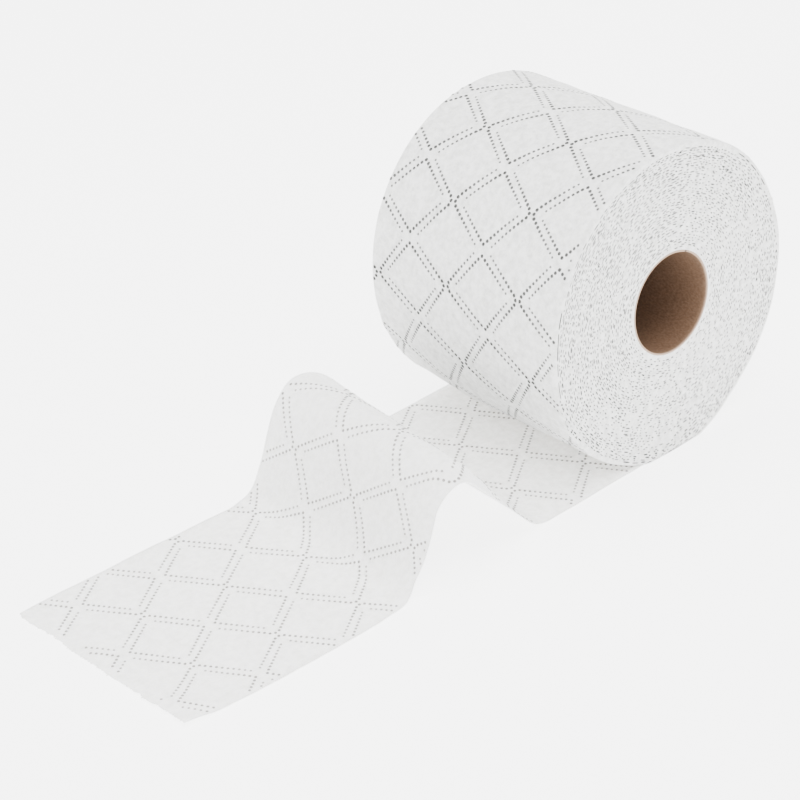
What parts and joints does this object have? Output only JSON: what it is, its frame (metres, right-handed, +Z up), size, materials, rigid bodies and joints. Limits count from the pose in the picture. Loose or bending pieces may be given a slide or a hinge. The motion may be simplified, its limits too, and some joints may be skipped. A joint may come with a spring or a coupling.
{
  "type": "toilet paper roll",
  "caption": "Full roll of embossed toilet paper on a cardboard core, lying on its side with a loose tail that stands up in a soft wave and ends in a tear.",
  "frame": {"origin": "middle of the core's bore, on its axis", "axes": "+Y along the bore, away from the end that the picture shows; +Z up; the loose tail runs towards -X"},
  "size_m": [0.292, 0.095, 0.1215],
  "materials": {
    "cardboard": "matt kraft board",
    "paper": "soft embossed tissue"
  },
  "bodies": {
    "root": {"core_tube": "cardboard", "paper_roll": "paper"}
  },
  "joints": []
}
